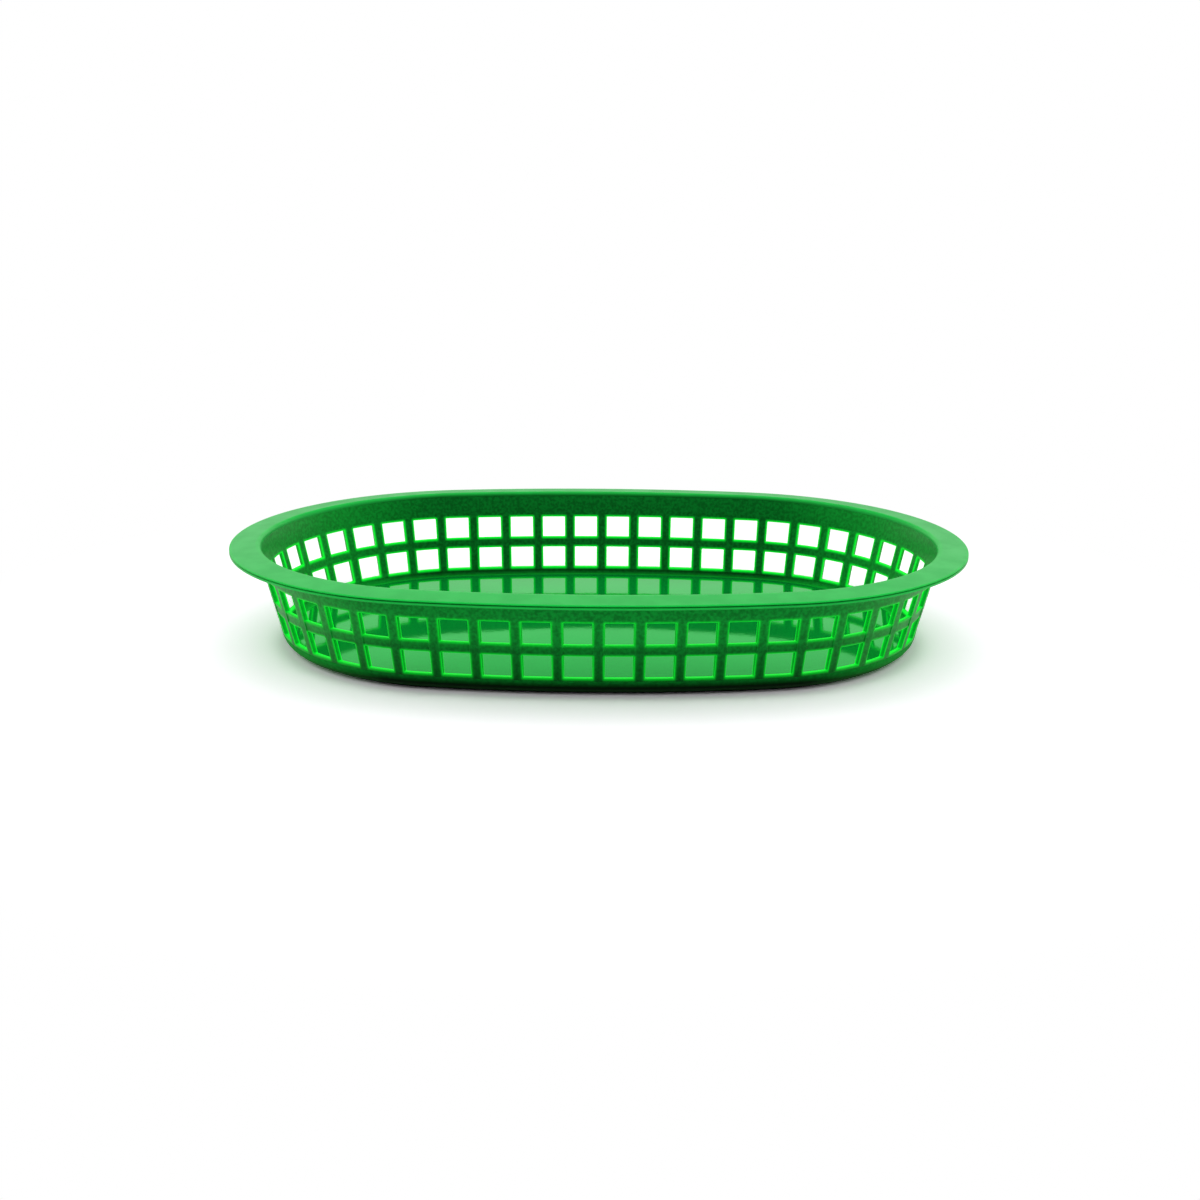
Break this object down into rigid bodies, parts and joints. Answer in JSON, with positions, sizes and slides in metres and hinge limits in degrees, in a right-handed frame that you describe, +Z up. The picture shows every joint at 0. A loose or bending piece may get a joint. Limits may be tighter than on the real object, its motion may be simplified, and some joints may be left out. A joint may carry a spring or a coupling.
{
  "type": "fast food basket",
  "caption": "Oval fast food serving basket moulded in glossy green plastic: drooping rim flange, tapered open wall of square windows, crowned closed floor, low foot ring.",
  "frame": {"origin": "on the table, under the middle of the basket", "axes": "+X along the basket's length, +Y across it, +Z up"},
  "size_m": [0.273, 0.184, 0.0379],
  "materials": {
    "rim_plastic": "satin moulded",
    "wall_plastic": "gloss moulded, slightly see-through",
    "floor_plastic": "high gloss moulded"
  },
  "bodies": {
    "root": {"rim_flange": "rim_plastic", "collar": "wall_plastic", "mid_hoop": "wall_plastic", "base_band": "wall_plastic", "floor_plate": "floor_plastic", "foot_ring": "wall_plastic", "upright_01": "wall_plastic", "upright_02": "wall_plastic", "upright_03": "wall_plastic", "upright_04": "wall_plastic", "upright_05": "wall_plastic", "upright_06": "wall_plastic", "upright_07": "wall_plastic", "upright_08": "wall_plastic", "upright_09": "wall_plastic", "upright_10": "wall_plastic", "upright_11": "wall_plastic", "upright_12": "wall_plastic", "upright_13": "wall_plastic", "upright_14": "wall_plastic", "upright_15": "wall_plastic", "upright_16": "wall_plastic", "upright_17": "wall_plastic", "upright_18": "wall_plastic", "upright_19": "wall_plastic", "upright_20": "wall_plastic", "upright_21": "wall_plastic", "upright_22": "wall_plastic", "upright_23": "wall_plastic", "upright_24": "wall_plastic", "upright_25": "wall_plastic", "upright_26": "wall_plastic", "upright_27": "wall_plastic", "upright_28": "wall_plastic", "upright_29": "wall_plastic", "upright_30": "wall_plastic", "upright_31": "wall_plastic", "upright_32": "wall_plastic", "upright_33": "wall_plastic", "upright_34": "wall_plastic", "upright_35": "wall_plastic", "upright_36": "wall_plastic", "upright_37": "wall_plastic", "upright_38": "wall_plastic", "upright_39": "wall_plastic", "upright_40": "wall_plastic", "upright_41": "wall_plastic", "upright_42": "wall_plastic", "upright_43": "wall_plastic", "upright_44": "wall_plastic", "upright_45": "wall_plastic", "upright_46": "wall_plastic", "upright_47": "wall_plastic", "upright_48": "wall_plastic"}
  },
  "joints": []
}
